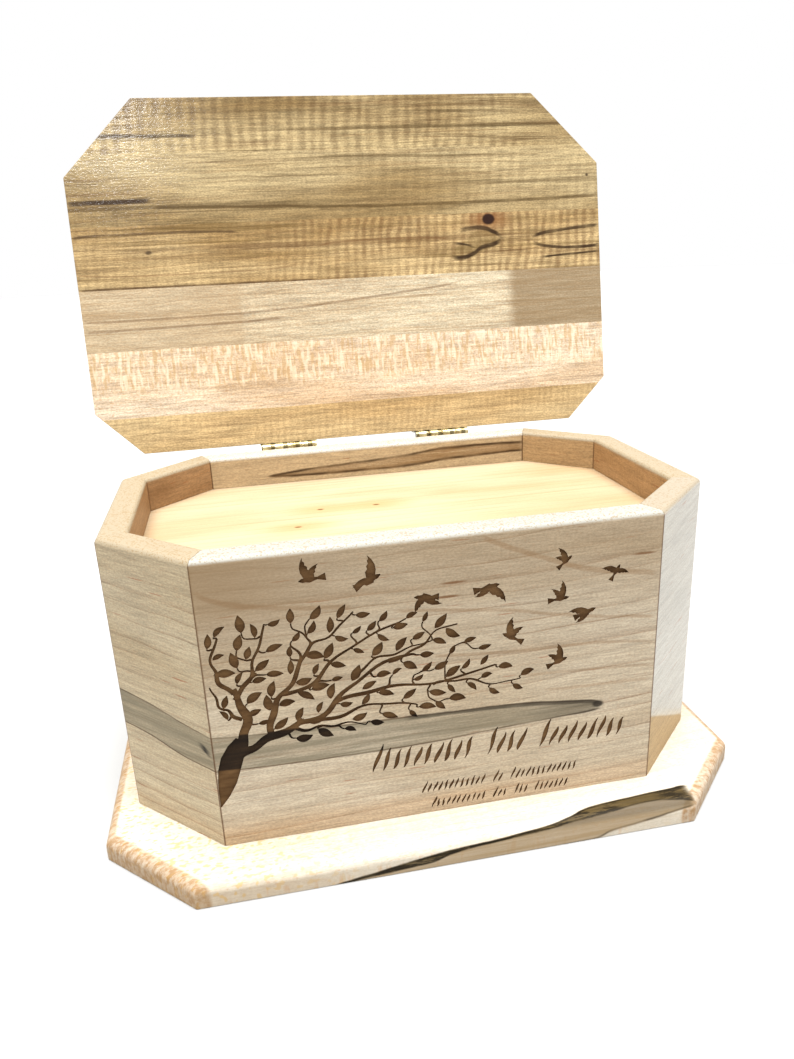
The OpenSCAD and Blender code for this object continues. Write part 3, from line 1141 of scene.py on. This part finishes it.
def lid_woods():
    """The six staves' materials, from the front edge to the hinges."""
    dark_grain = srgb(92, 66, 34)
    pale_grain = srgb(148, 120, 82)
    woods = []
    for figure, light, dark, grain_line, spacing, strength in (
        (stave_1, srgb(166, 147, 108), srgb(117, 96, 61), dark_grain, 3.2, 0.55),
        (stave_2, srgb(163, 145, 108), srgb(126, 105, 69), dark_grain, 5, 0.4),
        (stave_3, srgb(178, 155, 113), srgb(135, 110, 71), dark_grain, 3.6, 0.5),
        (stave_4, srgb(181, 170, 146), srgb(164, 148, 121), pale_grain, 5, 0.35),
        (stave_5, srgb(194, 176, 153), srgb(182, 157, 127), pale_grain, 6, 0.25),
        (stave_6, srgb(178, 154, 113), srgb(162, 135, 93), pale_grain, 8, 0.35),
    ):
        wood = Wood("lid_" + figure.__name__)
        wood.tone(light, dark, 30, 6)
        wood.streaks(grain_line, 0.42, 18, 720, 0.46, 0.66)
        wood.rings(BROWN, spacing, (-300, 20), 0.05, 10, strength)
        wood.fibre(0.6)
        figure(wood)
        across = wood.y - GLOSS_PLACE.y
        along = wood.x - GLOSS_PLACE.x
        reach = wood.math("SQRT", across * across + along * along)
        gloss = wood.smooth(reach, GLOSS_CORE, GLOSS_REACH, 0.55, 0.1)
        woods.append(wood.finish(0.4, 0.085, gloss, 0.1, (520, 1150, 1150)))
    return woods


def brass(name, colour, tarnish):
    """Pale rolled brass with faint brushing, tarnish in patches, and darker bands every 7 mm along the
    pin.
    """
    g = Graph(name)
    place = g.wire("TexCoord", output="Object")
    patches = g.noise(place, (180, 180, 180), 4.0, 0.6)
    brushed = g.noise(place, (300, 6000, 6000), 2.0, 0.6)
    bands = g.math("SINE", g.split(place)[0] * (2 * math.pi / (7 * MM)))
    tint = g.blend(g.smooth(patches, 0.4, 0.7), colour, tarnish)
    tint = g.blend(g.smooth(bands, 0.2, 0.6, 0.0, 0.75), tint, srgb(74, 62, 34))
    return g.surface(tint, patches * 0.2 + 0.2, brushed, 0.02 * MM, Metallic=1.0)


# ---- building the pieces

def build_walls():
    """Eight mitred boards, the front one engraved."""
    woods = {
        "front_panel": front_wood(),
        "front_right_corner_panel": front_right_wood(),
        "back_left_corner_panel": back_left_wood(),
        "front_left_corner_panel": front_left_wood(),
        "back_panel": back_wood(),
        # the inner colours given here are painted shade and warm bounce light for each wall's inner face
        "right_panel": WallWood("maple_right", inner=srgb(156, 118, 74)).close(),
        "back_right_corner_panel": WallWood("maple_back_right", inner=srgb(160, 130, 90)).close(),
    }
    common = WallWood("maple_side").close()
    char = char_wood("charred_wood", srgb(98, 73, 46), srgb(70, 49, 28))
    cut = char_wood("cut_wood", srgb(84, 58, 36), srgb(60, 40, 24))
    for index, node in enumerate(WALL_NODES):
        bm = wall_mesh(index)
        materials = [woods.get(node, common)]
        if node == "front_panel":
            engrave(bm, front_picture())
            materials += [char, cut]
        make_piece(node + "_wood", bm, wall_grain(index), "urn", materials, [node])


def build_base():
    """The wide board under the body."""
    low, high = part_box("base_plate")
    bm = plate_mesh(outline(low, high, CUT, CUT), low.z, high.z, BASE_R)
    make_piece("base_plate_wood", bm, plate_grain(20), "urn", [base_wood()], ["base_plate"])


def build_inner_panel():
    """The board between tray and chamber, its edges held in the walls' grooves."""
    bm = plate_mesh(inset(BODY_OUTLINE, BODY_HALF.x - PANEL_HIGH.x), PANEL_LOW.z, PANEL_HIGH.z, EASE)
    make_piece(
        "inner_panel_wood", bm, plate_grain(21), "urn", [panel_wood()], ["inner_panel"]
    )


STAVE_JOINTS = [-72, -36, -3.5, 29, 65]


def build_lid():
    """The lid's glued staves, made closed and then swung open about the hinge pins."""
    corners = [CLOSING @ v.co for v in frame["nodes"]["lid_board"].data.vertices]
    low = Vector([min(c[i] for c in corners) for i in range(3)])
    high = Vector([max(c[i] for c in corners) for i in range(3)])
    rear_cut = CUT - (-low.y - high.y)
    bm = plate_mesh(outline(low, high, CUT, rear_cut), low.z, high.z, LID_R)
    for joint in STAVE_JOINTS:
        everything = list(bm.verts) + list(bm.edges) + list(bm.faces)
        bmesh.ops.bisect_plane(
            bm, geom=everything, plane_co=(0, joint * MM, 0), plane_no=(0, 1, 0), dist=1e-7
        )
    for face in bm.faces:
        middle = face.calc_center_median().y
        face.material_index = sum(middle > joint * MM for joint in STAVE_JOINTS)
    make_piece(
        "lid_board_wood", bm, plate_grain(22), "lid", lid_woods(), ["lid_board"],
        CLOSING.inverted(),
    )


def finish_hinges():
    """Gives the CAD hinges their metal and takes the sharpness off their edges."""
    rolled = brass("brass_rolled", srgb(216, 204, 160), srgb(150, 130, 84))
    turned = brass("brass_turned", srgb(206, 190, 140), srgb(140, 118, 72))
    for name, node in frame["nodes"].items():
        if "hinge" not in name:
            continue
        node.data.materials.clear()
        node.data.materials.append(turned if "screw" in name else rolled)
        soft = node.modifiers.new("Eased edges", "BEVEL")
        soft.width = 0.12 * MM
        soft.segments = 2
        soft.limit_method = "ANGLE"
        soft.angle_limit = math.radians(40)


# ---- camera, light and floor

CAMERA_PLACE = (-0.06927, -0.37519, 0.24582)
CAMERA_TURN = (70.758, 2.412, -11.23)
CAMERA_LENS = 27.807
AIM = Vector((0, 0, 0.15))
LAMPS = (
    # name, place, diameter and power
    ("lid_glare", (-0.28, -1.01, 1.04), 0.12, 3.1),
    ("right_fill", (1.3, -0.9, 0.5), 0.8, 3),
)


def put(data, place=(0, 0, 0), degrees=(0, 0, 0)):
    """Puts a camera or a light into the scene."""
    made = bpy.data.objects.new(data.name, data)
    made.location = place
    made.rotation_euler = Euler([math.radians(a) for a in degrees], "XYZ")
    bpy.context.scene.collection.objects.link(made)
    return made


def build_studio():
    """Camera, a white surround, soft overhead light and a plain pale floor."""
    lens = bpy.data.cameras.new("camera")
    lens.sensor_width = 36
    lens.lens = CAMERA_LENS
    lens.clip_start = 0.01
    scene = bpy.context.scene
    camera = put(lens, CAMERA_PLACE, CAMERA_TURN)
    bpy.context.scene.camera = camera

    scene.view_settings.view_transform = "Standard"
    scene.world = scene.world or bpy.data.worlds.new("surround")
    scene.world.use_nodes = True
    surround = scene.world.node_tree.nodes["Background"]
    surround.inputs["Color"].default_value = (1, 1, 1, 1)
    surround.inputs["Strength"].default_value = 1.0

    sky = bpy.data.lights.new("overhead", "SUN")
    sky.energy = 9.0
    sky.angle = math.radians(50)
    put(sky, degrees=(5, 0, 0))
    for name, place, size, power in LAMPS:
        lamp = bpy.data.lights.new(name, "AREA")
        lamp.shape = "DISK"
        lamp.size = size
        lamp.energy = power
        light = put(lamp, place)
        light.rotation_euler = (AIM - light.location).to_track_quat("-Z", "Y").to_euler()

    bpy.ops.mesh.primitive_circle_add(vertices=96, radius=6, fill_type="NGON", location=(0, 0, -0.0001))
    floor = bpy.context.object
    floor.name = "floor"
    g = Graph("floor")
    place = g.wire("TexCoord", output="Object")
    cloud = g.noise(place, (3, 3, 3), 2.0)
    tint = g.blend(cloud, srgb(152, 152, 151), srgb(158, 158, 157))
    floor.data.materials.append(g.surface(tint, 0.9, cloud, 0.0))


build_studio()
build_walls()
build_base()
build_inner_panel()
build_lid()
finish_hinges()
